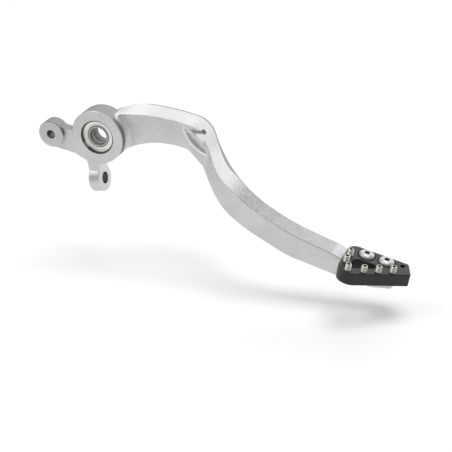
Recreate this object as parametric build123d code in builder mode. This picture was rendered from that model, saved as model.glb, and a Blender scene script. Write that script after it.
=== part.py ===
from build123d import *
from math import atan2, cos, degrees, hypot, radians, sin, sqrt, tan
import os

# Rear brake pedal of an off-road motorbike. Millimetres. X runs forward from the pivot to the
# tip, Y runs along the pivot from the outboard side to the inboard side, and Z is up.
# The origin is the middle of the pivot bore. The step plate on the tip is level.

# Pivot bearings, two side by side
pair_gap = 0.04
bearing_fit = 0.02
bearing_bore_radius = 6.0
bearing_outer_radius = 12.0
bearing_width = 6.0
ball_radius = 1.5875
ball_circle_radius = 9.0
ball_count = 10
race_clearance = 0.06
race_land = 0.95
inner_shoulder_radius = 7.4
shield_bore_radius = 7.85
shield_seat_radius = 10.75
shield_thickness = 0.45
shield_inset = 0.25
shield_side_gap = 0.15
cage_thickness = 0.9
cage_half_width = 1.95
pocket_clearance = 0.09

# Pivot boss
boss_radius = 18.8
boss_front_recess = 2.0
boss_face_blend = 4.0
boss_back_wall = 3.2
boss_back_round = 4.8
boss_edge_bevel = 0.4
back_opening_radius = 10.2
snap_ring_thickness = 1.1
snap_ring_width = 1.6
snap_ring_grip = 0.6
snap_ring_gap = 4.6
snap_ring_gap_at = 228
snap_groove_side_gap = 0.05
snap_groove_floor_gap = 0.1

# Arm seen from the side
root_start_x = 4.5
root_start_height = 16.3
crest_x = 56.0
crest_height = 27.1
bend_start_x = 60.0
bend_radius = 16.0
descent_angle = 60.0
flare_radius = 30.0
shin_angle = 18.0
shin_run = 39.5
shin_sweep = 130.0
tip_angle = 7.0
seat_ramp_run = 6.0
seat_height = -19.9
seat_ramp_angle = 17.0
tongue_step_gap = 0.1
tongue_length = 34.3
tongue_depth = 8.5
tongue_nose_run = 13.0
tongue_nose_width = 6.4
tongue_round = 3.5
bolt_from_face = 7.75
belly_crest_x = 58.5
belly_height = 9.8
belly_sweep = 60.0
belly_start_x = 12.0
belly_flat = 4.0
gusset_end_x = 74.5
gusset_drop = 8.3
calf_end_angle = 16.0
calf_end_x = 103.0
calf_depth = 19.5
calf_run = 38.0
heel_run = 25.0
heel_depth = 32.5

# Arm seen from above
face_setback = 6.5
root_thickness = 19.4
root_flare = 2.0
root_flare_x = 15.0
root_flare_round = 8.0
root_full_round = 60.0
tip_thickness = 16.2
root_full_x = 42.0
swing_start_x = 77.0
swing_offset = 17.0
swing_angle = 30.4
swing_crease_radius = 5.0
swing_exit_radius = 50.0
back_turn_x = 80.5
back_turn_drop = 0.4
back_swing_end_x = 112.0
back_edge_round = 1.6
face_edge_bevel = 0.35
boss_clear_radius = 13.5

# Hollows in the gusset at the bend
hollow_left = (57.0, 24.3)
hollow_mid = (64.3, 14.6)
hollow_right = (76.0, 9.9)
ridge_left = (61.4, 21.4)
ridge_mid = (69.6, 19.2)
ridge_right = (75.0, 11.6)
brow = (63.1, 24.9)
brow_exit = (67.0, 28.0)
side_exit = (75.0, 24.0)
side_edge = (73.5, 17.8)
hollow_depth = 2.4
ridge_drop = 0.5
corner_depth = 5.0
corner = (71.9, 22.8)
corner_hole_x = 69.9
corner_hole_y = 3.6
corner_hole_radius = 1.6
corner_hole_depth = 12.0

# Rear lug for the master cylinder rod
rod_x = -34.8
rod_z = -10.3
rod_hole_radius = 3.0
lug_radius = 9.3
lug_thickness = 9.0
lug_setback = 2.0
neck_setback = 4.0
neck_top_z = -3.5
neck_web_start = (-16.0, -19.3)
neck_web_end = (-6.5, -22.2)
neck_lug_round = 3.0
neck_boss_round = 2.0
lug_edge_bevel = 0.35

# Lower eye for the return spring and stop
eye_radius = 9.2
eye_drop = 33.1
eye_back_offset = 9.8
eye_thickness = 8.0
eye_tilt = 20.0
eye_hole_radius = 4.1
eye_neck_width = 12.4
eye_neck_offset_y = 2.0
eye_offset_y = 1.0
eye_neck_reach = 11.0
eye_edge_bevel = 0.4

# Step plate
plate_top_z = -17.0
plate_thickness = 8.5
plate_heel_x = 183.0
plate_length = 44.1
plate_rear_y = -3.2
plate_rear_taper = 1.3
plate_tip_taper = 4.4
plate_tip_width = 11.9
plate_front_angle = 33.2
plate_tip_round = 1.2
plate_heel_round = 6.0
plate_corner_round = 8.5
plate_edge_bevel = 0.45
rail_width = 6.8
window_heel_wall = 7.0
window_rear_wall = 15.3
window_width = 14.2
window_tip_lean = 1.4
window_heel_round = 4.0
window_round = 1.6

# Fasteners of the step plate
bolt_head_radius = 5.25
bolt_head_height = 3.3
bolt_rim_height = 0.9
bolt_crown_radius = 2.7
bolt_dome_radius = 4.3
bolt_dome_height = 2.5
bolt_shank_radius = 3.0
bolt_star_radius = 2.3
bolt_star_lobe = 0.62
bolt_star_depth = 1.7
bolt_spacing = 13.3
bolt_from_heel = 13.0
bolt_recess_depth = 1.2
bolt_recess_gap = 0.7
bolt_hole_gap = 0.25
bolt_length = 15.5
thread_fit = 0.04
pin_radius = 2.0
pin_proud = 4.2
pin_depth = 6.5
pin_socket_size = 2.3
pin_socket_depth = 2.2
pin_bevel = 0.35
pin_pitch = 9.8
pin_hole_fit = 0.04
pin_first_drop = 13.4
pin_heel_pitch = 8.9
pin_corner_turn = 16.0
pin_last_from_tip = 11.2
spare_hole_radius = 1.65
spare_from_tip = 7.3
spare_from_rear = 6.2

# Margins of the cutting shapes beyond what they cut
cut_margin = 1.0
tiny = 0.01

# Least slope of a normal for a face of the arm to count as its top or one of its sides
facing_up = 0.2
facing_side = 0.6

# Values that follow from the sizes above
pair_half_width = bearing_width + pair_gap / 2
boss_front_y = -(pair_half_width + boss_front_recess)
boss_back_y = pair_half_width + boss_back_wall
boss_bore_radius = bearing_outer_radius + bearing_fit
face_y = boss_front_y + face_setback
plate_bottom_z = plate_top_z - plate_thickness
tongue_bottom_z = plate_bottom_z - tongue_depth
tongue_step_x = plate_heel_x - tongue_step_gap
tip_face_y = face_y - swing_offset
bolt_line_y = tip_face_y + bolt_from_face
bolt_spots = [
    (plate_heel_x + bolt_from_heel + n * bolt_spacing, bolt_line_y) for n in range(2)
]
pocket_size = 2 * (ball_radius + pocket_clearance)
groove_radius = ball_radius + race_clearance
groove_sides = 8
groove_turn = 180 / groove_sides
# A ball is held with flats that scene.py rounds: a cube bevelled so that its corners touch the ball
ball_half = ball_radius / sqrt(1 + 2 * (sqrt(2) - 1) ** 2)
ball_bevel = ball_half * (2 - sqrt(2))


def side(y):
    """Plane seen from the outboard side, its X forward and its Y up, at the given depth."""
    return Plane.XZ.offset(-y)


def turned(start, heading, radius, turn):
    """End point and heading of an arc that leaves start at a heading and turns by an angle."""
    sense = 1 if turn > 0 else -1
    centre = (
        start[0] - sense * radius * sin(radians(heading)),
        start[1] + sense * radius * cos(radians(heading)),
    )
    out = heading + turn
    return (
        centre[0] + sense * radius * sin(radians(out)),
        centre[1] - sense * radius * cos(radians(out)),
    )


def ahead(start, heading, run):
    """Point that lies a run ahead of start."""
    return (
        start[0] + run * cos(radians(heading)),
        start[1] + run * sin(radians(heading)),
    )


def middle_of_arc(start, heading, radius, turn):
    """Point half way round such an arc."""
    return turned(start, heading, radius, turn / 2)


os.makedirs("parts", exist_ok=True)

# Pedal arm: one forging with its boss, two lugs, gusset and tongue
crest = (crest_x, crest_height)
root_top = (root_start_x, root_start_height)
root_rise = crest_height - root_start_height
crest_sweep = ((crest_x - root_start_x) ** 2 + root_rise**2) / (2 * root_rise)
root_turn = 2 * degrees(atan2(root_rise, crest_x - root_start_x))
bend_start = (bend_start_x, crest_height)
bend_end = turned(bend_start, 0, bend_radius, -descent_angle)
seat_start_x = tongue_step_x - seat_ramp_run
seat_start = (seat_start_x, seat_height)


def down_the_shin(start):
    """Ends of the flare, the shin and its sweep when the straight descent ends at start."""
    flare = turned(start, -descent_angle, flare_radius, descent_angle - shin_angle)
    shin = ahead(flare, -shin_angle, shin_run)
    return flare, shin, turned(shin, -shin_angle, shin_sweep, shin_angle - tip_angle)


# The straight descent is as long as it takes for the shin to reach the seat at its height
no_descent_tip = down_the_shin(bend_end)[2]
tip_slope = tan(radians(tip_angle))
excess = no_descent_tip[1] - seat_height - (seat_start_x - no_descent_tip[0]) * tip_slope
descent_run = excess / (sin(radians(descent_angle)) - cos(radians(descent_angle)) * tip_slope)
descent_end = ahead(bend_end, -descent_angle, descent_run)
flare_end, shin_end, tip_start = down_the_shin(descent_end)
seat_end = (
    tongue_step_x,
    seat_start[1] - (tongue_step_x - seat_start_x) * tan(radians(seat_ramp_angle)),
)
tongue_end_x = tongue_step_x + tongue_length
belly_centre = (belly_crest_x, belly_height - belly_sweep)
belly_start = (
    belly_start_x,
    belly_centre[1] + sqrt(belly_sweep**2 - (belly_start_x - belly_crest_x) ** 2),
)
gusset_start = (belly_crest_x + belly_flat, belly_height)
gusset_end = (gusset_end_x, belly_height - gusset_drop)
calf_end = (calf_end_x, -calf_depth)
ankle = ahead(calf_end, -calf_end_angle, calf_run)
heel = (tongue_step_x - heel_run, -heel_depth)

face_line_end_x = swing_start_x + swing_offset / tan(radians(swing_angle))
back_y = face_y + root_thickness

# Pocket in the gusset: two sloping floors that meet in a ridge. The lower one ends in a rim
# that slopes back up to the face as part of a cone.
ridge_chord = hypot(ridge_right[0] - ridge_left[0], ridge_right[1] - ridge_left[1])
down_x = (ridge_right[1] - ridge_left[1]) / ridge_chord
down_z = (ridge_left[0] - ridge_right[0]) / ridge_chord
ridge_point = (ridge_mid[0], face_y + ridge_drop, ridge_mid[1])
rim_arc = ThreePointArc(hollow_left, hollow_mid, hollow_right)
rim_centre = rim_arc.arc_center
hollow_cut = 2 * corner_depth


def floor_plane(lean_x, lean_z, deep_point, depth):
    """Plane through the ridge that falls away to the given depth below the arm's face."""
    run = (deep_point[0] - ridge_mid[0]) * lean_x + (deep_point[1] - ridge_mid[1]) * lean_z
    fall = atan2(depth - ridge_drop, run)
    return Plane(
        origin=ridge_point,
        x_dir=(-lean_z, 0, lean_x),
        z_dir=(lean_x * sin(fall), -cos(fall), lean_z * sin(fall)),
    )


with BuildPart() as lower_hollow:
    with BuildSketch(side(face_y - cut_margin)):
        with BuildLine():
            ThreePointArc(hollow_left, hollow_mid, hollow_right)
            Line(hollow_right, ridge_right)
            ThreePointArc(ridge_right, ridge_mid, ridge_left)
            Line(ridge_left, hollow_left)
        make_face()
    extrude(amount=-hollow_cut)
    split(bisect_by=floor_plane(down_x, down_z, hollow_mid, hollow_depth), keep=Keep.TOP)
    with BuildSketch(Plane.XY.offset(rim_centre.Y)):
        Polygon(
            (rim_centre.X, face_y - cut_margin),
            (rim_centre.X + rim_arc.radius + cut_margin, face_y - cut_margin),
            (rim_centre.X + rim_arc.radius - hollow_cut, face_y + hollow_cut),
            (rim_centre.X, face_y + hollow_cut),
            align=None,
        )
    revolve(axis=Axis((rim_centre.X, 0, rim_centre.Y), (0, 1, 0)), mode=Mode.INTERSECT)

with BuildPart() as upper_hollow:
    with BuildSketch(side(face_y - cut_margin)):
        with BuildLine():
            ThreePointArc(ridge_right, ridge_mid, ridge_left)
            Polyline(ridge_left, hollow_left, brow, brow_exit, side_exit, side_edge, ridge_right)
        make_face()
    extrude(amount=-hollow_cut)
    split(
        bisect_by=floor_plane(-down_x, -down_z, corner, corner_depth),
        keep=Keep.TOP,
    )

# Boss round the pivot
with BuildPart() as boss:
    with BuildSketch(side(boss_back_y)):
        Circle(boss_radius)
    extrude(amount=boss_back_y - boss_front_y)
    fillet(boss.edges().filter_by(GeomType.CIRCLE).sort_by(Axis.Y)[-1], radius=boss_back_round)
    chamfer(boss.edges().filter_by(GeomType.CIRCLE).sort_by(Axis.Y)[0], length=boss_edge_bevel)

# Rear lug with its neck
with BuildPart() as rod_lug:
    with BuildSketch(side(boss_front_y + lug_setback + lug_thickness)) as neck:
        Circle(boss_radius)
        with Locations((rod_x, rod_z)):
            Circle(lug_radius)
        Polygon(
            (rod_x, rod_z - lug_radius),
            neck_web_start,
            neck_web_end,
            (0, neck_web_end[1]),
            (0, neck_top_z),
            (rod_x, neck_top_z),
            align=None,
        )
        corners = neck.vertices().filter_by(lambda v: abs(v.Y - neck_top_z) < tiny)
        fillet(corners.sort_by(Axis.X)[0], radius=neck_lug_round)
        corners = neck.vertices().filter_by(lambda v: abs(v.Y - neck_top_z) < tiny)
        fillet(corners.sort_by(Axis.X)[-1], radius=neck_boss_round)
    extrude(amount=lug_thickness + lug_setback - neck_setback)
    with BuildSketch(side(boss_front_y + lug_setback + lug_thickness)):
        with Locations((rod_x, rod_z)):
            Circle(lug_radius)
    extrude(amount=lug_thickness)
    chamfer(rod_lug.faces().sort_by(Axis.Y)[0].edges(), length=lug_edge_bevel)

# Lower eye, turned across the pivot
tilt_x = cos(radians(eye_tilt))
tilt_z = sin(radians(eye_tilt))
eye_plane = Plane(
    origin=(-eye_back_offset * tilt_x, 0, -eye_back_offset * tilt_z),
    x_dir=(0, 1, 0),
    z_dir=(tilt_x, 0, tilt_z),
)
with BuildPart() as lower_eye:
    with BuildSketch(eye_plane):
        with Locations((eye_offset_y, -eye_drop)):
            Circle(eye_radius)
        Polygon(
            (eye_neck_offset_y - eye_neck_width / 2, -eye_neck_reach),
            (eye_neck_offset_y + eye_neck_width / 2, -eye_neck_reach),
            (eye_neck_offset_y + eye_neck_width / 2, -eye_drop),
            (eye_neck_offset_y - eye_neck_width / 2, -eye_drop),
            align=None,
        )
    extrude(amount=eye_thickness / 2, both=True)
    chamfer(lower_eye.edges().filter_by(GeomType.CIRCLE), length=eye_edge_bevel)

with BuildPart() as pedal_arm:
    with BuildSketch(side(back_y + boss_radius)):
        with BuildLine():
            Line((root_top[0], 0), root_top)
            ThreePointArc(root_top, turned(crest, 180, crest_sweep, root_turn / 2), crest)
            Line(crest, bend_start)
            ThreePointArc(
                bend_start, middle_of_arc(bend_start, 0, bend_radius, -descent_angle), bend_end
            )
            Line(bend_end, descent_end)
            ThreePointArc(
                descent_end,
                middle_of_arc(
                    descent_end, -descent_angle, flare_radius, descent_angle - shin_angle
                ),
                flare_end,
            )
            Line(flare_end, shin_end)
            ThreePointArc(
                shin_end,
                middle_of_arc(shin_end, -shin_angle, shin_sweep, shin_angle - tip_angle),
                tip_start,
            )
            Polyline(
                tip_start,
                seat_start,
                seat_end,
                (tongue_step_x, plate_bottom_z),
                (tongue_end_x, plate_bottom_z),
                (tongue_end_x, tongue_bottom_z),
                (tongue_step_x, tongue_bottom_z),
                heel,
            )
            TangentArc(
                ankle,
                heel,
                tangent=(cos(radians(calf_end_angle)), -sin(radians(calf_end_angle))),
            )
            Line(ankle, calf_end)
            TangentArc(
                calf_end,
                gusset_end,
                tangent=(-cos(radians(calf_end_angle)), sin(radians(calf_end_angle))),
            )
            Polyline(gusset_end, gusset_start, (belly_crest_x, belly_height))
            ThreePointArc(
                (belly_crest_x, belly_height),
                (
                    (belly_crest_x + belly_start_x) / 2,
                    belly_centre[1]
                    + sqrt(belly_sweep**2 - ((belly_start_x - belly_crest_x) / 2) ** 2),
                ),
                belly_start,
            )
            Line(belly_start, (root_top[0], 0))
        make_face()
    extrude(amount=back_y + boss_radius - 2 * tip_face_y)
    with BuildSketch(Plane.XY.offset(crest_height + cut_margin)) as plan:
        with BuildLine():
            front_path = FilletPolyline(
                (root_top[0] - cut_margin, face_y),
                (swing_start_x, face_y),
                (face_line_end_x, tip_face_y),
                (tongue_end_x - tongue_nose_run, tip_face_y),
                (tongue_end_x, tip_face_y + tongue_nose_width),
                radius=(
                    swing_crease_radius,
                    swing_exit_radius + tip_thickness,
                    tongue_round,
                ),
            )
            back_path = FilletPolyline(
                (root_top[0] - cut_margin, boss_back_y),
                (root_flare_x, back_y + root_flare),
                (root_full_x, back_y),
                (back_turn_x, back_y - back_turn_drop),
                (back_swing_end_x, tip_face_y + tip_thickness),
                (tongue_end_x, tip_face_y + tip_thickness),
                radius=(
                    root_flare_round,
                    root_full_round,
                    swing_crease_radius + tip_thickness,
                    swing_exit_radius,
                ),
            )
            Line(front_path @ 0, back_path @ 0)
            Line(front_path @ 1, back_path @ 1)
        make_face()
        fillet(plan.vertices().group_by(Axis.X)[-1], radius=tongue_round)
    extrude(amount=tongue_bottom_z - crest_height - 2 * cut_margin, mode=Mode.INTERSECT)
    top_edges = (
        pedal_arm.faces()
        .filter_by(lambda f: f.normal_at().Z > facing_up and f.center().X < tongue_step_x)
        .edges()
    )
    back_edges = pedal_arm.faces().filter_by(lambda f: f.normal_at().Y > facing_side).edges()
    front_edges = pedal_arm.faces().filter_by(lambda f: f.normal_at().Y < -facing_side).edges()
    front_top_edges = top_edges & front_edges
    fillet(top_edges & back_edges, radius=back_edge_round)
    chamfer(front_top_edges, length=face_edge_bevel)
    add(boss.part)
    boss_foot = pedal_arm.edges().filter_by(
        lambda e: abs((e @ 0).Y - face_y) < tiny
        and abs(hypot((e @ 0).X, (e @ 0).Z) - boss_radius) < tiny
        and abs(hypot((e @ 1).X, (e @ 1).Z) - boss_radius) < tiny
    )
    fillet(boss_foot, radius=boss_face_blend)
    add(rod_lug.part)
    add(lower_eye.part)
    add(lower_hollow.part, mode=Mode.SUBTRACT)
    add(upper_hollow.part, mode=Mode.SUBTRACT)
    with BuildSketch(Plane.XY.offset(crest_height)):
        with Locations((corner_hole_x, corner_hole_y)):
            Circle(corner_hole_radius)
    extrude(amount=-corner_hole_depth, mode=Mode.SUBTRACT)
    # Clear seat behind the boss, then the stepped bore with its ring groove
    with BuildSketch(side(boss_back_y)):
        Circle(boss_clear_radius)
    extrude(amount=-root_thickness, mode=Mode.SUBTRACT)
    with BuildSketch(side(pair_half_width)):
        Circle(boss_bore_radius)
    extrude(amount=2 * pair_half_width + boss_front_recess, mode=Mode.SUBTRACT)
    with BuildSketch(side(pair_half_width)):
        Circle(back_opening_radius)
    extrude(amount=-root_thickness, mode=Mode.SUBTRACT)
    with BuildSketch(side(-pair_half_width)):
        Circle(boss_bore_radius + snap_ring_grip + snap_groove_floor_gap)
    extrude(amount=snap_ring_thickness + 2 * snap_groove_side_gap, mode=Mode.SUBTRACT)
    # Rod hole, eye hole and the two threaded holes in the tongue
    with BuildSketch(side(boss_back_y)):
        with Locations((rod_x, rod_z)):
            Circle(rod_hole_radius)
    extrude(amount=boss_back_y - boss_front_y, mode=Mode.SUBTRACT)
    with BuildSketch(eye_plane):
        with Locations((eye_offset_y, -eye_drop)):
            Circle(eye_hole_radius)
    extrude(amount=eye_thickness, both=True, mode=Mode.SUBTRACT)
    with BuildSketch(Plane.XY.offset(plate_bottom_z)):
        with Locations(*bolt_spots):
            Circle(bolt_shank_radius + thread_fit)
    extrude(amount=-tongue_depth, mode=Mode.SUBTRACT)

pedal_arm.part.label = "pedal_arm"
export_step(pedal_arm.part, "parts/pedal_arm.step")

# Step plate with its window, recesses and threaded holes
plate_tip_x = plate_heel_x + plate_length
front_slope = tan(radians(plate_front_angle))
tip_rear_y = plate_rear_y - plate_rear_taper
tip_front_y = tip_rear_y - plate_tip_width
heel_front_y = tip_front_y - plate_length * front_slope
window_heel_x = plate_heel_x + window_heel_wall
window_rear_y = plate_rear_y - window_rear_wall
window_tip_x = window_heel_x + window_width
pin_inset = rail_width / 2


def front_y(x, inset):
    """Y of the line that runs at an inset inside the front edge of the plate."""
    shift = inset / cos(radians(plate_front_angle))
    return tip_front_y - (plate_tip_x - x) * front_slope + shift


corner_centre = (
    plate_heel_x + plate_corner_round,
    front_y(plate_heel_x + plate_corner_round, plate_corner_round),
)
corner_reach = plate_corner_round - pin_inset
first_pin_y = plate_rear_y - pin_first_drop
pin_step_x = pin_pitch * cos(radians(plate_front_angle))
last_pin_x = plate_tip_x - pin_last_from_tip
pin_spots = [
    (plate_heel_x + pin_inset, first_pin_y),
    (plate_heel_x + pin_inset, first_pin_y - pin_heel_pitch),
    (
        corner_centre[0] - corner_reach * sin(radians(pin_corner_turn)),
        corner_centre[1] - corner_reach * cos(radians(pin_corner_turn)),
    ),
]
for n in (2, 1, 0):
    pin_x = last_pin_x - n * pin_step_x
    pin_spots.append((pin_x, front_y(pin_x, pin_inset)))
spare_spot = (plate_tip_x - spare_from_tip, plate_rear_y - spare_from_rear)

with BuildPart() as step_plate:
    with BuildSketch(Plane.XY.offset(plate_bottom_z)) as outline:
        Polygon(
            (plate_heel_x, plate_rear_y),
            (plate_tip_x - plate_tip_taper, tip_rear_y),
            (plate_tip_x, tip_front_y),
            (plate_heel_x, heel_front_y),
            align=None,
        )
        by_x = outline.vertices().sort_by(Axis.X)
        fillet(by_x[-2:], radius=plate_tip_round)
        heel_corners = outline.vertices().group_by(Axis.X)[0].sort_by(Axis.Y)
        fillet(heel_corners[0], radius=plate_corner_round)
        heel_corners = outline.vertices().group_by(Axis.X)[0].sort_by(Axis.Y)
        fillet(heel_corners[-1], radius=plate_heel_round)
    extrude(amount=plate_thickness)
    with BuildSketch(Plane.XY.offset(plate_bottom_z)) as window:
        Polygon(
            (window_heel_x, window_rear_y),
            (window_tip_x, window_rear_y),
            (
                window_tip_x + window_tip_lean,
                front_y(window_tip_x + window_tip_lean, rail_width),
            ),
            (window_heel_x, front_y(window_heel_x, rail_width)),
            align=None,
        )
        heel_corners = window.vertices().group_by(Axis.X)[0].sort_by(Axis.Y)
        fillet(heel_corners[-1], radius=window_heel_round)
        tip_corners = window.vertices().group_by(Axis.X)[0].sort_by(Axis.Y)[:1]
        tip_corners += window.vertices().sort_by(Axis.X)[-2:]
        fillet(tip_corners, radius=window_round)
    extrude(amount=plate_thickness, mode=Mode.SUBTRACT)
    chamfer(step_plate.faces().sort_by(Axis.Z)[-1].edges(), length=plate_edge_bevel)
    with BuildSketch(Plane.XY.offset(plate_top_z)):
        with Locations(*bolt_spots):
            Circle(bolt_head_radius + bolt_recess_gap)
    extrude(amount=-bolt_recess_depth, mode=Mode.SUBTRACT)
    with BuildSketch(Plane.XY.offset(plate_top_z)):
        with Locations(*bolt_spots):
            Circle(bolt_shank_radius + bolt_hole_gap)
        with Locations(*pin_spots):
            Circle(pin_radius + pin_hole_fit)
        with Locations(spare_spot):
            Circle(spare_hole_radius)
    extrude(amount=-plate_thickness, mode=Mode.SUBTRACT)

step_plate.part.label = "step_plate"
export_step(step_plate.part, "parts/step_plate.step")

# Button head bolts with a six lobed recess
head_seat_z = plate_top_z - bolt_recess_depth
head_top_z = head_seat_z + bolt_head_height
for place, spot in zip(("rear", "front"), bolt_spots):
    with BuildPart() as bolt:
        with BuildSketch(Plane.XZ.offset(-spot[1])):
            with BuildLine():
                Polyline(
                    (spot[0], head_top_z),
                    (spot[0], head_seat_z - bolt_length),
                    (spot[0] + bolt_shank_radius, head_seat_z - bolt_length),
                    (spot[0] + bolt_shank_radius, head_seat_z),
                    (spot[0] + bolt_head_radius, head_seat_z),
                    (spot[0] + bolt_head_radius, head_seat_z + bolt_rim_height),
                    (spot[0] + bolt_dome_radius, head_seat_z + bolt_dome_height),
                    (spot[0] + bolt_crown_radius, head_top_z),
                    close=True,
                )
            make_face()
        revolve(axis=Axis((*spot, 0), (0, 0, 1)))
        with BuildSketch(Plane.XY.offset(head_top_z)):
            with Locations(spot):
                Circle(bolt_star_radius - bolt_star_lobe)
                with PolarLocations(bolt_star_radius - bolt_star_lobe, 6):
                    Circle(bolt_star_lobe)
        extrude(amount=-bolt_star_depth, mode=Mode.SUBTRACT)
    bolt.part.label = f"plate_bolt_{place}"
    export_step(bolt.part, f"parts/plate_bolt_{place}.step")

# Grip pins screwed into the plate
pin_top_z = plate_top_z + pin_proud
for number, spot in enumerate(pin_spots, start=1):
    with BuildPart() as pin:
        with BuildSketch(Plane.XY.offset(pin_top_z)):
            with Locations(spot):
                Circle(pin_radius)
        extrude(amount=-(pin_proud + pin_depth))
        chamfer(pin.edges().sort_by(Axis.Z)[-1], length=pin_bevel)
        with BuildSketch(Plane.XY.offset(pin_top_z)):
            with Locations(spot):
                RegularPolygon(pin_socket_size / 2, 6, major_radius=False)
        extrude(amount=-pin_socket_depth, mode=Mode.SUBTRACT)
    pin.part.label = f"grip_pin_{number}"
    export_step(pin.part, f"parts/grip_pin_{number}.step")

# Snap ring in front of the bearings
with BuildPart() as snap_ring:
    with BuildSketch(side(-pair_half_width - snap_groove_side_gap)):
        Circle(boss_bore_radius + snap_ring_grip)
        Circle(boss_bore_radius + snap_ring_grip - snap_ring_width, mode=Mode.SUBTRACT)
        with PolarLocations(boss_bore_radius, 1, start_angle=snap_ring_gap_at):
            Rectangle(2 * snap_ring_width + cut_margin, snap_ring_gap, mode=Mode.SUBTRACT)
    extrude(amount=snap_ring_thickness)

snap_ring.part.label = "snap_ring"
export_step(snap_ring.part, "parts/snap_ring.step")

# Two shielded ball bearings, their ball tracks cut with flats
shield_out = bearing_width / 2 - shield_inset
shield_in = shield_out - shield_thickness
half_width = bearing_width / 2
inner_land_radius = ball_circle_radius - race_land
outer_land_radius = ball_circle_radius + race_land

for place, centre_y in (
    ("front", -(bearing_width + pair_gap) / 2),
    ("rear", (bearing_width + pair_gap) / 2),
):
    with BuildPart() as outer_ring:
        with BuildSketch(Plane.XY):
            with BuildLine():
                Polyline(
                    (bearing_outer_radius, centre_y - half_width),
                    (bearing_outer_radius, centre_y + half_width),
                    (shield_seat_radius, centre_y + half_width),
                    (shield_seat_radius, centre_y + shield_in),
                    (outer_land_radius, centre_y + shield_in),
                    (outer_land_radius, centre_y - shield_in),
                    (shield_seat_radius, centre_y - shield_in),
                    (shield_seat_radius, centre_y - half_width),
                    close=True,
                )
            make_face()
            with Locations((ball_circle_radius, centre_y)):
                RegularPolygon(
                    groove_radius,
                    groove_sides,
                    major_radius=False,
                    rotation=groove_turn,
                    mode=Mode.SUBTRACT,
                )
        revolve(axis=Axis.Y)
    outer_ring.part.label = f"{place}_outer_ring"
    export_step(outer_ring.part, f"parts/{place}_outer_ring.step")

    with BuildPart() as inner_ring:
        with BuildSketch(Plane.XY):
            with BuildLine():
                Polyline(
                    (bearing_bore_radius, centre_y - half_width),
                    (bearing_bore_radius, centre_y + half_width),
                    (inner_shoulder_radius, centre_y + half_width),
                    (inner_shoulder_radius, centre_y + shield_in - shield_side_gap),
                    (inner_land_radius, centre_y + shield_in - shield_side_gap),
                    (inner_land_radius, centre_y - shield_in + shield_side_gap),
                    (inner_shoulder_radius, centre_y - shield_in + shield_side_gap),
                    (inner_shoulder_radius, centre_y - half_width),
                    close=True,
                )
            make_face()
            with Locations((ball_circle_radius, centre_y)):
                RegularPolygon(
                    groove_radius,
                    groove_sides,
                    major_radius=False,
                    rotation=groove_turn,
                    mode=Mode.SUBTRACT,
                )
        revolve(axis=Axis.Y)
    inner_ring.part.label = f"{place}_inner_ring"
    export_step(inner_ring.part, f"parts/{place}_inner_ring.step")

    with BuildPart() as balls:
        with Locations(side(centre_y)):
            with PolarLocations(ball_circle_radius, ball_count):
                Box(2 * ball_half, 2 * ball_half, 2 * ball_half)
        chamfer(balls.edges(), length=ball_bevel)
    balls.part.label = f"{place}_balls"
    export_step(balls.part, f"parts/{place}_balls.step")

    with BuildPart() as cage:
        with BuildSketch(side(centre_y + cage_half_width)):
            Circle(ball_circle_radius + cage_thickness / 2)
            Circle(ball_circle_radius - cage_thickness / 2, mode=Mode.SUBTRACT)
        extrude(amount=2 * cage_half_width)
        with Locations(side(centre_y)):
            with PolarLocations(ball_circle_radius, ball_count):
                Box(
                    cage_thickness + cut_margin,
                    pocket_size,
                    pocket_size,
                    mode=Mode.SUBTRACT,
                )
    cage.part.label = f"{place}_cage"
    export_step(cage.part, f"parts/{place}_cage.step")

    for where, shield_y in (("outer", -shield_in), ("inner", shield_out)):
        with BuildPart() as shield:
            with BuildSketch(side(centre_y + shield_y)):
                Circle(shield_seat_radius)
                Circle(shield_bore_radius, mode=Mode.SUBTRACT)
            extrude(amount=shield_thickness)
        shield.part.label = f"{place}_{where}_shield"
        export_step(shield.part, f"parts/{place}_{where}_shield.step")
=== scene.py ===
import bpy
import numpy as np
from mathutils import Matrix, Vector


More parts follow.
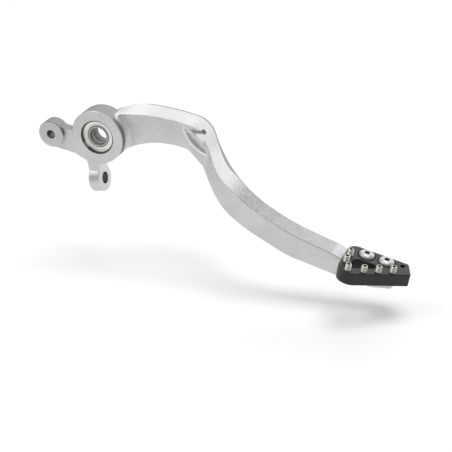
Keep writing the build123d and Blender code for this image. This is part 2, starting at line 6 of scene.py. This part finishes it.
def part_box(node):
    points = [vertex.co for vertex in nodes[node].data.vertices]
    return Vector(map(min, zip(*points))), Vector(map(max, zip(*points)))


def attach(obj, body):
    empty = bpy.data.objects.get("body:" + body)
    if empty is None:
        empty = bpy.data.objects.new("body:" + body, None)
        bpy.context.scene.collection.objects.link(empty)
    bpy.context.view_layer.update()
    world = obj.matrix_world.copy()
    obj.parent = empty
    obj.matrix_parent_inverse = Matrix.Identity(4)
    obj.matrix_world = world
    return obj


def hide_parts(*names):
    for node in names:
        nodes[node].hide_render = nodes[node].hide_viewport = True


# Rear brake pedal: satin forged arm, black step plate, bright screws, shielded pivot bearings.
# Lengths are in metres. X runs from the pivot to the plate, Y to the back and Z up.
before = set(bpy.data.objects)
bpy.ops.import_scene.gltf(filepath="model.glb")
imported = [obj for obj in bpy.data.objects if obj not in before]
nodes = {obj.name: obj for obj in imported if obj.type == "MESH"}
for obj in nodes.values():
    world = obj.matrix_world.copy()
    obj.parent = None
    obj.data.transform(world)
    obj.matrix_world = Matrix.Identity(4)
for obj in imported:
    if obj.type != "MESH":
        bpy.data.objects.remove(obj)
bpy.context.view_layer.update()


# Shader maths
class Value:
    """A number on a socket. Arithmetic on it adds Math nodes to its finish."""

    def __init__(self, finish, socket):
        self.finish = finish
        self.socket = socket

    def maths(self, operation, *others):
        """This value and any others through a Math node."""
        return self.finish.node("ShaderNodeMath", {"operation": operation}, [self, *others])[0]

    def __add__(self, other):
        return self.maths("ADD", other)

    def __sub__(self, other):
        return self.maths("SUBTRACT", other)

    def __mul__(self, other):
        return self.maths("MULTIPLY", other)

    def __rsub__(self, other):
        return self.finish.node("ShaderNodeMath", {"operation": "SUBTRACT"}, [other, self])[0]

    def step(self, low, high):
        """0 at low, 1 at high, smooth between; high may be the smaller of the two."""
        settings = {"interpolation_type": "SMOOTHSTEP"}
        return self.finish.node("ShaderNodeMapRange", settings, [self, low, high, 0.0, 1.0])[0]

    def between(self, start, full, fade, end):
        """0 up to start, 1 from full to fade, and 0 again from end on."""
        return self.step(start, full) * self.step(end, fade)

    def near(self, centre, full, end):
        """1 no further than full from a centre, and 0 further than end."""
        return (self - centre).maths("ABSOLUTE").step(end, full)


class Finish:
    """A procedural finish: one node tree with a Principled shader.

    across, deep and high are X, Y and Z of the place on the object, and backward and upward
    are Y and Z of its normal.
    """

    def __init__(self, name):
        self.material = bpy.data.materials.new(name)
        self.material.use_nodes = True
        self.tree = self.material.node_tree
        self.shader = self.tree.nodes["Principled BSDF"]
        ways = self.node("ShaderNodeTexCoord", {}, [])
        self.place = ways[3]
        self.across, self.deep, self.high = self.node("ShaderNodeSeparateXYZ", {}, [ways[3]])
        self.backward, self.upward = self.node("ShaderNodeSeparateXYZ", {}, [ways[1]])[1:]

    def node(self, kind, settings, inputs):
        """Adds a node: its settings first, then its inputs, by order or by name."""
        made = self.tree.nodes.new(kind)
        for key, value in settings.items():
            setattr(made, key, value)
        pairs = inputs.items() if isinstance(inputs, dict) else enumerate(inputs)
        for key, value in pairs:
            self.feed(made.inputs[key], value)
        return [Value(self, socket) for socket in made.outputs]

    def feed(self, socket, value):
        """Links a value to a socket, or sets a number or colour on it."""
        if isinstance(value, Value):
            self.tree.links.new(value.socket, socket)
        else:
            socket.default_value = value

    def noise(self, scale, detail, rough, stretch=(1, 1, 1)):
        """Noise from 0 to 1, its scale in waves per metre, stretched along the axes."""
        spot = self.node("ShaderNodeMapping", {}, {"Vector": self.place, "Scale": stretch})[0]
        inputs = {"Vector": spot, "Scale": scale, "Detail": detail, "Roughness": rough}
        return self.node("ShaderNodeTexNoise", {}, inputs)[0]

    def mix(self, share, low, high):
        """Colour from low, which may be on a socket, to high by a share from 0 to 1."""
        start = low if isinstance(low, Value) else (*low, 1.0)
        inputs = {0: share, 6: start, 7: (*high, 1.0)}
        return self.node("ShaderNodeMix", {"data_type": "RGBA"}, inputs)[2]

    def bumps(self, *layers):
        """Normal raised by each layer's height times its distance, the first one lowest."""
        raised = {}
        for height, distance in layers:
            inputs = {"Strength": 1.0, "Distance": distance, "Height": height, **raised}
            raised = {"Normal": self.node("ShaderNodeBump", {}, inputs)[0]}
        return raised["Normal"]

    def reach(self, point, way):
        """Distance from a line: the length of the cross product with its unit direction."""
        offset = self.node("ShaderNodeVectorMath", {"operation": "SUBTRACT"}, [self.place, point])
        area = self.node("ShaderNodeVectorMath", {"operation": "CROSS_PRODUCT"}, [offset[0], way])
        return self.node("ShaderNodeVectorMath", {"operation": "LENGTH"}, [area[0]])[1]

    def done(self, **sockets):
        """Feeds the shader's sockets and returns the material."""
        for name, value in sockets.items():
            self.feed(self.shader.inputs[name.replace("_", " ")], value)
        return self.material


# Finishes
y_way = (0.0, 1.0, 0.0)
z_way = (0.0, 0.0, 1.0)
pivot = (0.0, 0.0, 0.0)
boss_radius = 0.019
rod_place = (-0.0348, 0.0, -0.0103)
rod_radius = 0.003
eye_place = (0.002112, 0.001, -0.034456)
eye_way = (0.939693, 0.0, 0.34202)
eye_radius = 0.0041
rim_centre = (0.078412, 0.0, 0.032817)
rim_radius = 0.023044
ridge_centre = (0.062274, 0.0, 0.008276)
ridge_radius = 0.013153


def back_lip(f):
    """1 on the strip of the arm's top that lies next to its back edge.

    The strip carries painted shade along the back edge's round. The edge's Y falls along X in
    three straight runs, each given by a place, a slope and Y at that place. It is the larger of
    the first two, but no more than the third, where the arm swings forward.
    """
    flare = (0.015 - f.across) * 0.0741 + 0.01988
    straight = (0.042 - f.across) * 0.0104 + 0.01788
    swing = (0.0805 - f.across) * 0.6286 + 0.01748
    edge = flare.maths("MAXIMUM", straight).maths("MINIMUM", swing)
    width = f.across.between(0.074, 0.084, 0.088, 0.100) * 0.0020 + 0.0029
    lip = (f.deep - edge + width).step(0.0, 0.0004) * f.upward.step(0.1, 0.3)
    return lip * f.across.between(0.020, 0.026, 0.092, 0.106)


def duller(f, strokes):
    """Share of the duller tone on the arm outside its pocket, by place and direction.

    The low end of the top is darker, streaked by the strokes and fading along it to a ramp under
    the plate. Painted shade darkens the ramp, the edge bevel where it would shine, the boss's
    side, most where the arm leaves it, a line where the neck meets the boss, the tops behind the
    boss, the lug, the back lip and the bend's top.
    """
    reach = f.reach(pivot, y_way)
    round_side = (f.backward * f.backward).step(0.5, 0.15)
    flat_side = 1 - round_side
    # The low end of the top is darker, streaked by the strokes.
    low_top = f.across.between(0.091, 0.110, 0.1735, 0.1765) * f.upward.step(0.6, 0.8)
    fading = 1.7 - f.across.step(0.112, 0.150) * 0.43
    low_top = low_top * (strokes * 2.4 - 0.45) * fading
    ramp = f.across.step(0.1735, 0.1765) * f.upward.step(0.5, 0.7)
    bevel = f.upward.step(0.3, 0.5) * f.backward.step(-0.25, -0.45) * f.across.step(0.074, 0.084)
    fainter = f.across.between(0.098, 0.106, 0.125, 0.140)
    boss_side = reach.near(boss_radius - 0.0002, 0.0002, 0.0005) * round_side
    shaded = f.across.step(0.006, 0.012) * f.high.step(0.008, 0.001)
    left_tops = f.across.step(-0.012, -0.016) * f.upward.step(0.1, 0.3)
    lug = f.across.step(-0.022, -0.027) * flat_side
    neck_line = reach.near(boss_radius + 0.0002, 0.0001, 0.0006) * flat_side
    neck_line = neck_line * f.across.step(-0.008, -0.012) * f.high.step(0.008, 0.005)
    bend_top = f.upward.step(0.45, 0.7) * f.across.between(0.059, 0.065, 0.074, 0.078)
    share = low_top * 0.50
    # Each mask below adds painted shade.
    for mask, weight in (
        (ramp, 0.20),
        (bevel, 0.45 - fainter * 0.33),
        (boss_side, shaded * 0.2 + 0.74),
        (left_tops, 0.79),
        (lug, 0.16),
        (back_lip(f), 0.7),
        (neck_line, 0.4),
        (bend_top, 0.13),
    ):
        share = share + mask * weight
    return share


def pocket(f):
    """Shares of the duller and of the brighter tone in the arm's pocket.

    The duller share is painted shade and the brighter one painted highlight. The highlight on
    the rim is a ring on the front face and on the ridge a ring inside the pocket, round lines
    along Y. Above the ridge, painted shade darkens the band at the height of the drilled hole
    and the low right side, and a painted highlight brightens what is left between them.
    """
    rim_reach = f.reach(rim_centre, y_way)
    past_ridge = f.reach(ridge_centre, y_way) - ridge_radius
    along = f.across.between(0.0565, 0.0575, 0.0755, 0.0765)
    rim = rim_reach.near(rim_radius, 0.0005, 0.0011) * along * f.deep.step(-0.0009, -0.0013)
    sunk = f.deep.step(-0.0013, -0.0007) * along * f.backward.step(-0.1, -0.3)
    sunk = sunk * f.high.step(0.0285, 0.0275) * rim_reach.step(0.0231, 0.0229)
    ridge = past_ridge.near(0.0, 0.0003, 0.0008) * sunk
    above = sunk * (1 - past_ridge.step(0.0002, -0.0004))
    band = f.high.between(0.0219, 0.0228, 0.0238, 0.0246)
    low_side = f.high.step(0.0195, 0.0172)
    patch = above * (1 - band) * (1 - low_side)
    painted_pocket_shade = above * (band * 0.55 + low_side * 0.14)
    return painted_pocket_shade, rim.maths("MAXIMUM", ridge).maths("MAXIMUM", patch)


def hole_wall(f, place, way, radius):
    """1 on the wall of a plain hole."""
    return f.reach(place, way).step(radius + 0.0002, radius + 0.00005)


def satin_forging():
    """Blasted aluminium forging: fine grain, faint clouds, and cutter strokes across the arm.

    Painted shade dulls the boss's turned side and other places, the low end of the top is
    darker, the top near the root is brighter, painted highlights brighten the pocket's rim,
    and painted shade darkens the walls of the two plain holes.
    """
    f = Finish("satin_aluminium")
    grain = f.noise(2600.0, 3.0, 0.6)
    mottle = f.noise(700.0, 2.0, 0.7)
    cloud = f.noise(55.0, 3.0, 0.55)
    patch = f.noise(16.0, 2.0, 0.5)
    strokes = f.noise(2000.0, 3.0, 0.7, (1.0, 0.35, 1.0))
    tone = cloud * 0.3 + patch * 0.1 + grain * 0.15 + strokes * 0.1 + mottle * 0.35
    # Painted shade and painted highlights in the pocket, and the duller share of the rest, mostly
    # painted shade.
    painted_pocket_shade, bright = pocket(f)
    dull_and_painted_shade = (duller(f, strokes) + painted_pocket_shade).maths("MINIMUM", 1.0)
    root = f.upward.step(0.45, 0.7) * f.across.between(0.010, 0.016, 0.024, 0.036)
    # Painted shade on the walls of the two plain holes; the rod hole's lower wall, which faces
    # up, is left lighter as a painted highlight.
    rod_hole_shade = hole_wall(f, rod_place, y_way, rod_radius)
    rod_hole_shade = rod_hole_shade * (1 - f.upward.step(0.55, 0.95) * 0.7)
    eye_hole_shade = hole_wall(f, eye_place, eye_way, eye_radius) * f.across.step(0.02, 0.018)
    colour = f.mix(tone.step(0.3, 0.7), (0.52, 0.523, 0.527), (0.69, 0.693, 0.697))
    # Lighter top near the root, then painted shade, painted highlights and the holes' painted
    # shade.
    for share, shade in (
        (root * 0.36, (0.88, 0.88, 0.885)),
        (dull_and_painted_shade, (0.20, 0.20, 0.205)),
        (bright, (0.93, 0.93, 0.93)),
        (rod_hole_shade, (0.05, 0.048, 0.045)),
        (eye_hole_shade, (0.24, 0.235, 0.23)),
    ):
        colour = f.mix(share, colour, shade)
    return f.done(
        Base_Color=colour,
        Metallic=(1 - bright * 0.7) * 0.92,
        Roughness=grain * 0.10 + strokes * 0.10 + dull_and_painted_shade * 0.15 + 0.30,
        Normal=f.bumps((cloud, 0.0003), (mottle, 0.00018), (grain, 0.00010), (strokes, 0.00008)),
    )


def black_anodised():
    """Black anodised machined plate: dark, slightly brownish, with faint cutter lines."""
    f = Finish("black_aluminium")
    grain = f.noise(3200.0, 2.0, 0.6)
    lines = f.noise(900.0, 2.0, 0.5, (0.12, 1.0, 1.0))
    cloud = f.noise(70.0, 3.0, 0.5)
    return f.done(
        Base_Color=f.mix(cloud, (0.012, 0.012, 0.0125), (0.018, 0.018, 0.0185)),
        Metallic=0.0,
        Specular_IOR_Level=0.35,
        Roughness=grain * 0.12 + lines * 0.08 + 0.30,
        Normal=f.bumps((grain, 0.00003), (lines, 0.00003)),
    )


def turned_steel(name, point, way, tint, rough, pitch=0.00022, recess=None):
    """Turned steel: rings round an axis, a pitch apart, as a sine of the distance from it.

    A recess is a height, a radius and a grey of painted shade for the steel below and inside
    them.
    """
    f = Finish(name)
    reach = f.reach(point, way)
    rings = (reach * (2 * np.pi / pitch)).maths("SINE") * 0.5 + 0.5
    cloud = f.noise(300.0, 3.0, 0.6)
    low = tuple(0.88 * part for part in tint)
    colour = f.mix(rings * 0.4 + cloud * 0.6, low, tint)
    if recess is not None:
        top, inside, shade = recess
        # Painted shade in the recess.
        sunk = f.high.step(top - 0.0001, top - 0.0003) * reach.step(inside, inside - 0.0001)
        colour = f.mix(sunk, colour, (shade, shade, shade))
    return f.done(
        Base_Color=colour,
        Metallic=1.0,
        Roughness=rings * 0.06 + cloud * 0.10 + rough,
        Normal=f.bumps((cloud, 0.00004), (rings, 0.000012)),
    )


def inner_race_steel():
    """Bearing ring with a bright face, a bore darkened by painted shade and a black line of
    painted shade where the two rings meet in its middle.
    """
    f = Finish("inner_race_steel")
    grind = f.noise(2400.0, 3.0, 0.6, (1.0, 0.15, 1.0))
    # Painted shade in the bore, and along the gap between the two inner rings.
    bore = f.reach(pivot, y_way).step(0.0064, 0.0061)
    seam_shade = f.deep.near(0.0, 0.0003, 0.0006)
    colour = f.mix(grind, (0.34, 0.335, 0.32), (0.44, 0.435, 0.42))
    colour = f.mix(bore, colour, (0.13, 0.125, 0.115))
    return f.done(
        Base_Color=f.mix(seam_shade, colour, (0.01, 0.01, 0.01)),
        Metallic=1.0,
        Roughness=grind * 0.12 + 0.28,
        Normal=f.bumps((grind, 0.00002)),
    )


def dark_spring_steel():
    """Phosphated spring steel: dark, matt, slightly mottled."""
    f = Finish("spring_steel")
    cloud = f.noise(700.0, 3.0, 0.6)
    return f.done(
        Base_Color=f.mix(cloud, (0.05, 0.05, 0.052), (0.11, 0.11, 0.112)),
        Metallic=0.8,
        Roughness=cloud * 0.2 + 0.35,
    )


def paper():
    """Plain pale paper."""
    f = Finish("studio_paper")
    cloud = f.noise(4.0, 2.0, 0.5)
    return f.done(Base_Color=f.mix(cloud, (0.90, 0.90, 0.90), (0.92, 0.92, 0.92)), Roughness=0.9)


def paint(name, material):
    """Puts a finish on a CAD node."""
    mesh = nodes[name].data
    mesh.materials.clear()
    mesh.materials.append(material)


race_steel = turned_steel("bearing_steel", pivot, y_way, (0.80, 0.785, 0.74), 0.24)
ball_steel = turned_steel("ball_steel", pivot, y_way, (0.82, 0.82, 0.83), 0.12)
bore_steel = inner_race_steel()
shield_steel = turned_steel("shield_steel", pivot, y_way, (0.83, 0.82, 0.78), 0.34, 0.0006)
cage_steel = turned_steel("cage_steel", pivot, y_way, (0.62, 0.60, 0.56), 0.35)

paint("pedal_arm", satin_forging())
paint("step_plate", black_anodised())
paint("snap_ring", dark_spring_steel())
for place in ("front", "rear"):
    for part in ("outer_ring", "inner_ring", "outer_shield", "inner_shield"):
        paint(f"{place}_{part}", race_steel)
    paint(f"{place}_balls", ball_steel)
    paint(f"{place}_cage", cage_steel)


def upright_box(name):
    """A CAD node's box: its middle in X and Y, half its width, its bottom and its top."""
    low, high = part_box(name)
    centre = ((low[0] + high[0]) / 2, (low[1] + high[1]) / 2)
    return centre, (high[0] - low[0]) / 2, low[2], high[2]


bolts = [(f"plate_bolt_{place}", f"bolt_steel_{place}") for place in ("rear", "front")]
pins = [(f"grip_pin_{number}", f"pin_steel_{number}") for number in range(1, 7)]
screw_finishes = {}
# The last two numbers are the recess's radius and the grey of its painted shade.
for screws, tint, rough, inside, shade in (
    (bolts, (0.54, 0.54, 0.545), 0.36, 0.0022, 0.14),
    (pins, (0.66, 0.64, 0.60), 0.28, 0.0014, 0.02),
):
    for name, title in screws:
        centre, _, _, top = upright_box(name)
        recess = (top, inside, shade)
        steel = turned_steel(title, (*centre, 0.0), z_way, tint, rough, recess=recess)
        screw_finishes[name] = steel
        paint(name, steel)


# Pieces made here in place of plain CAD solids
def shell_mesh(name, shells, finish):
    """One mesh from closed shells, each a grid of points in rows and columns.

    A face joins a point to the next point round its row and to the same two points of the
    next row. A shell that is marked as a loop joins its last row to its first. Any other
    shell is closed at both ends by a fan round the mean of its end row.
    """
    points = []
    faces = []
    start = 0
    for grid, looped in shells:
        rows, around = grid.shape[:2]
        index = start + np.arange(rows * around).reshape(rows, around)
        points.append(grid.reshape(-1, 3))
        start += rows * around
        if looped:
            index = np.vstack([index, index[:1]])
        beside = np.roll(index, -1, axis=1)
        quads = np.stack([index[:-1], beside[:-1], beside[1:], index[1:]], axis=-1)
        faces += quads.reshape(-1, 4).tolist()
        if not looped:
            first = np.full(around, start)
            last = np.full(around, start + 1)
            faces += np.stack([first, beside[0], index[0]], axis=-1).tolist()
            faces += np.stack([last, index[-1], beside[-1]], axis=-1).tolist()
            points.append(grid[[0, -1]].mean(axis=1))
            start += 2
    mesh = bpy.data.meshes.new(name)
    mesh.from_pydata(np.concatenate(points).tolist(), [], faces)
    mesh.shade_smooth()
    mesh.set_sharp_from_angle(angle=float(np.radians(38.0)))
    mesh.materials.append(finish)
    piece = bpy.data.objects.new(name, mesh)
    bpy.context.scene.collection.objects.link(piece)
    return piece


def fit(piece, node, body):
    """Puts a piece in a CAD node's stead, on the node's body."""
    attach(piece, body)
    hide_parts(node)


def upright(centre, radius, height):
    """Grid turned about an upright axis.

    Point = centre + (radius cos angle, radius sin angle, height), where radius and height
    are given for each row, and the radius may also change with the angle.
    """
    angle = turn_angles(radius.shape[1])
    x = centre[0] + radius * np.cos(angle)
    y = centre[1] + radius * np.sin(angle)
    z = np.broadcast_to(height[:, None], radius.shape)
    return np.stack([x, y, z], axis=-1)


def turn_angles(count):
    """Equal steps of angle round a full turn."""
    return np.arange(count) * 2 * np.pi / count


def thread(radius, depth, pitch, height, angle):
    """Radius of a screw thread: a ridge that climbs by one pitch a turn.

    Radius less the depth times the distance from the ridge line, which is the triangle wave
    of height / pitch - angle / full turn, with its crest and root a little flattened.
    """
    phase = (height[:, None] / pitch - angle[None, :] / (2 * np.pi)) % 1.0
    wave = np.abs(2 * phase - 1)
    return radius - depth * np.clip(1.2 * wave - 0.1, 0, 1)


def six_sided(across, angle):
    """Radius of a hexagon: half its width over the cosine of the angle from a flat."""
    flat = np.pi / 3
    return across / 2 / np.cos((angle + flat / 2) % flat - flat / 2)


def six_lobed(mean, swing, angle):
    """Radius of a six lobed recess: its mean plus a cosine with six waves a turn."""
    return mean + swing * np.cos(6 * angle)


def spread(radii, count):
    """Each row's radius repeated for every angle."""
    return np.broadcast_to(np.asarray(radii, dtype=float).reshape(-1, 1), (np.size(radii), count))


def grip_pin(name, finish):
    """Threaded pin with bevelled ends and a hexagon socket in its top."""
    centre, radius, bottom, top = upright_box(name)
    thread_depth, pitch = 0.00032, 0.0007
    bevel = 0.0004
    hexagon, mouth_radius = 0.0023, 0.00128
    socket_depths = np.array([0.0, 0.00015, 0.0022, 0.0026])
    angle = turn_angles(60)
    height = np.linspace(bottom, top, 110)
    ridges = thread(radius, thread_depth, pitch, height, angle)
    ends = radius - bevel + np.minimum(height - bottom, top - height)
    wall = np.minimum(ridges, ends[:, None])
    socket = six_sided(hexagon, angle)
    mouth = np.maximum(socket, mouth_radius)
    rows = np.vstack([wall, mouth[None], socket[None], socket[None], 0.6 * socket[None]])
    shape = upright(centre, rows, np.concatenate([height, top - socket_depths]))
    fit(shell_mesh(f"{name}_thread", [(shape, False)], finish), name, "pedal")


def plate_bolt(name, finish):
    """Button head screw: threaded shank, elliptic dome and a six lobed recess.

    The dome is a quarter of an ellipse from the head's rim to the crown, a flat disc round
    the recess. The head's lower edge has a small round, and the shank's end a bevel.
    """
    centre, head, bottom, top = upright_box(name)
    shank, plain_shank, bevel = 0.003, 0.003, 0.0007
    thread_depth, pitch = 0.0005, 0.001
    head_height, rim_height = 0.0033, 0.0009
    crown = 0.0028
    edge = 0.0003
    star_mean, star_swing = 0.00168, 0.00034
    star_depths = np.array([0.0, 0.0002, 0.0017, 0.0021])
    around = 96
    angle = turn_angles(around)
    seat = top - head_height
    thread_top = seat - plain_shank
    height = np.linspace(bottom, thread_top, 110)
    ridges = thread(shank, thread_depth, pitch, height, angle)
    end = shank - bevel + (height - bottom)
    ridges = np.minimum(ridges, end[:, None])
    sweep = np.linspace(0, np.pi / 2, 14)
    rim = seat + rim_height
    dome_radius = crown + (head - crown) * np.cos(sweep)
    dome_height = rim + (top - rim) * np.sin(sweep)
    round_up = np.linspace(0, np.pi / 2, 5)
    under_radius = head - edge + edge * np.sin(round_up)
    under_height = seat + edge - edge * np.cos(round_up)
    star = six_lobed(star_mean, star_swing, angle)
    rows = np.vstack(
        [
            ridges,
            spread([shank - 0.0001, shank - 0.0001], around),
            spread(under_radius, around),
            spread(dome_radius, around),
            1.10 * star[None],
            star[None],
            star[None],
            0.5 * star[None],
        ]
    )
    neck = [thread_top + 0.0002, seat]
    heights = np.concatenate([height, neck, under_height, dome_height, top - star_depths])
    shape = upright(centre, rows, heights)
    fit(shell_mesh(f"{name}_screw", [(shape, False)], finish), name, "pedal")


def along_edge(corner, edge, cut):
    """Points that lie a cut from the corners along their edges, at most 0.45 of an edge."""
    length = np.linalg.norm(edge, axis=1)
    return corner + edge * (np.minimum(cut, 0.45 * length) / length)[:, None]


def rounded_loop(corners, cut):
    """Closed loop with each corner swapped for a quadratic curve.

    Curve = (1-t)^2 before + 2t(1-t) corner + t^2 after, where before and after lie a cut away
    from the corner along its two edges.
    """
    corner = np.array(corners, dtype=float)
    before = along_edge(corner, np.roll(corner, 1, axis=0) - corner, cut)
    after = along_edge(corner, np.roll(corner, -1, axis=0) - corner, cut)
    t = np.linspace(0, 1, 5)[None, :, None]
    bow = 2 * t * (1 - t) * corner[:, None]
    curve = (1 - t) ** 2 * before[:, None] + bow + t**2 * after[:, None]
    return curve.reshape(-1, 2)


def turned_ring(loop):
    """Loop of (radius, Y) turned about the pivot: (radius cos angle, Y, radius sin angle).

    A loop with a positive area is taken backwards, so that all rings face outwards.
    """
    radius, deep = loop[:, 0], loop[:, 1]
    area = np.sum(radius * np.roll(deep, -1) - np.roll(radius, -1) * deep)
    if area > 0:
        radius, deep = radius[::-1], deep[::-1]
    angle = turn_angles(120)
    x = radius[:, None] * np.cos(angle)
    z = radius[:, None] * np.sin(angle)
    y = np.broadcast_to(deep[:, None], x.shape)
    return np.stack([x, y, z], axis=-1)


def race(name, wall, land, shoulder, step, body, finish):
    """Bearing ring with rounded edges and a ball track whose section is part of a circle.

    wall, land and shoulder are radii and step is how far the land reaches from the middle.
    The section runs from the plain wall round the shoulders to the land, and the track is the
    arc of radius track_radius about the ball circle between the two edges of the land.
    """
    low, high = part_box(name)
    middle_y = (low[1] + high[1]) / 2
    half = (high[1] - low[1]) / 2
    depth = land - ball_circle
    half_track = (track_radius**2 - depth**2) ** 0.5
    outward = np.sign(depth)
    swing = np.arccos(abs(depth) / track_radius)
    sweep = np.linspace(-swing, swing, 16)
    track_r = ball_circle + outward * track_radius * np.cos(sweep)
    track_y = middle_y + track_radius * np.sin(sweep)
    corners = [
        (land, middle_y + half_track),
        (land, middle_y + step),
        (shoulder, middle_y + step),
        (shoulder, middle_y + half),
        (wall, middle_y + half),
        (wall, middle_y - half),
        (shoulder, middle_y - half),
        (shoulder, middle_y - step),
        (land, middle_y - step),
        (land, middle_y - half_track),
    ]
    edge_round = 0.0003
    outer = rounded_loop(corners, edge_round)
    loop = np.vstack([outer, np.stack([track_r, track_y], axis=-1)[1:-1]])
    piece = shell_mesh(f"{name}_race", [(turned_ring(loop), True)], finish)
    fit(piece, name, body)


def ball_ring(name, body, finish):
    """Ten round balls on the ball circle: rows of latitude from pole to pole, in degrees."""
    low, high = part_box(name)
    middle_y = (low[1] + high[1]) / 2
    latitude = np.radians(np.linspace(-82, 82, 15))
    radius = spread(ball_radius * np.cos(latitude), 24)
    shells = []
    for angle in turn_angles(10):
        hub = (ball_circle * np.cos(angle), middle_y)
        height = ball_circle * np.sin(angle) + ball_radius * np.sin(latitude)
        shells.append((upright(hub, radius, height), False))
    fit(shell_mesh(f"{name}_round", shells, finish), name, body)


def pressed_shield(name, outward, finish):
    """Pressed shield: a thin dished washer.

    From the seat to the bore its outer face sinks by dish * sine squared of the share of
    the way times pi, and its back follows it one sheet's thickness behind.
    """
    low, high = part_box(name)
    seat = (high[0] - low[0]) / 2
    bore = 0.00787
    dish = 0.00016
    sheet = 0.00025
    face = high[1] if outward > 0 else low[1]
    share = np.linspace(0, 1, 16)
    radius = seat + (bore - seat) * share
    sunk = dish * np.sin(np.pi * share) ** 2
    front = np.stack([radius, face - outward * sunk], axis=-1)
    back = np.stack([radius[::-1], face - outward * (sheet + sunk[::-1])], axis=-1)
    loop = np.vstack([front, back])
    piece = shell_mesh(f"{name}_pressing", [(turned_ring(loop), True)], finish)
    fit(piece, name, "pedal")


for name, finish in screw_finishes.items():
    if name.startswith("grip_pin"):
        grip_pin(name, finish)
    else:
        plate_bolt(name, finish)

ball_circle = 0.009
ball_radius = 0.0015875
track_radius = 0.0016475
shield_step = 0.0023
outer_race = (0.012, 0.00995, 0.01075, shield_step)
inner_race = (0.006, 0.00805, 0.0074, shield_step - 0.00015)
for place in ("front", "rear"):
    race(f"{place}_outer_ring", *outer_race, "pedal", race_steel)
    race(f"{place}_inner_ring", *inner_race, f"{place}_inner_race", bore_steel)
    ball_ring(f"{place}_balls", f"{place}_ball_set", ball_steel)
    pressed_shield(f"{place}_outer_shield", -1, shield_steel)
    pressed_shield(f"{place}_inner_shield", 1, shield_steel)


# Stage, lights and camera
def flat_stage(name, low, high, height, rise, material):
    """A rectangle between two corners, at a height where X is 0, that rises along X."""
    corners = [
        (low[0], low[1], height + rise * low[0]),
        (high[0], low[1], height + rise * high[0]),
        (high[0], high[1], height + rise * high[0]),
        (low[0], high[1], height + rise * low[0]),
    ]
    mesh = bpy.data.meshes.new(name)
    mesh.from_pydata(corners, [], [(0, 1, 2, 3)])
    mesh.materials.append(material)
    piece = bpy.data.objects.new(name, mesh)
    bpy.context.scene.collection.objects.link(piece)


flat_stage("studio_floor", (-3.0, -3.0), (0.8, 3.0), -0.0995, 0.222, paper())


def soft_light(name, place, target, size, power):
    """A white rectangular area light that faces a target."""
    lamp = bpy.data.lights.new(name, "AREA")
    lamp.shape = "RECTANGLE"
    lamp.size, lamp.size_y = size
    lamp.energy = power
    holder = bpy.data.objects.new(name, lamp)
    aim = (Vector(target) - Vector(place)).to_track_quat("-Z", "Y")
    holder.matrix_world = Matrix.Translation(place) @ aim.to_matrix().to_4x4()
    bpy.context.scene.collection.objects.link(holder)


soft_light("back_panel", (0.15, 1.35, 0.60), (0.10, 0.0, 0.0), (3.4, 1.2), 15.5)
soft_light("overhead", (0.12, 0.10, 1.40), (0.09, 0.0, 0.0), (0.80, 0.80), 10.5)
soft_light("left_fill", (-0.70, -0.35, 0.65), (0.05, 0.0, 0.0), (0.5, 0.5), 2.5)

world = bpy.data.worlds.new("studio")
bpy.context.scene.world = world
world.use_nodes = True
sky = world.node_tree.nodes["Background"]
sky.inputs["Color"].default_value = (1.0, 1.0, 1.0, 1.0)
sky.inputs["Strength"].default_value = 0.45

scene = bpy.context.scene
scene.view_settings.view_transform = "Standard"
scene.view_settings.look = "None"


def photo_camera():
    """Camera at the photograph's angle, azimuth, elevation and roll, with a 100 mm lens.

    It is placed so that the middle of the boss's face falls on its spot in the picture.
    """
    turn, rise, roll = np.radians([15.8856, 30.8458, 10.8154])
    ahead = np.array([-np.sin(turn) * np.cos(rise), np.cos(turn) * np.cos(rise), -np.sin(rise)])
    level = np.array([np.cos(turn), np.sin(turn), 0.0])
    plumb = np.cross(level, ahead)
    right = level * np.cos(roll) + plumb * np.sin(roll)
    up = -level * np.sin(roll) + plumb * np.cos(roll)
    focal_pixels = 1255.6
    half_picture = 226.0
    spot = np.array([96.9, 137.5])
    boss_face = np.array([0.0, -0.008, 0.0])
    distance = 0.841
    across = (spot[0] - half_picture) / focal_pixels * distance
    above = (half_picture - spot[1]) / focal_pixels * distance
    place = boss_face - right * across - up * above - ahead * distance
    turned = Matrix((right, up, -ahead)).transposed().to_4x4()
    camera = bpy.data.cameras.new("photo_camera")
    camera.lens = 100.0
    camera.sensor_width = 36.0
    camera.clip_start = 0.01
    holder = bpy.data.objects.new("photo_camera", camera)
    holder.matrix_world = Matrix.Translation(place) @ turned
    bpy.context.scene.collection.objects.link(holder)
    bpy.context.scene.camera = holder


photo_camera()
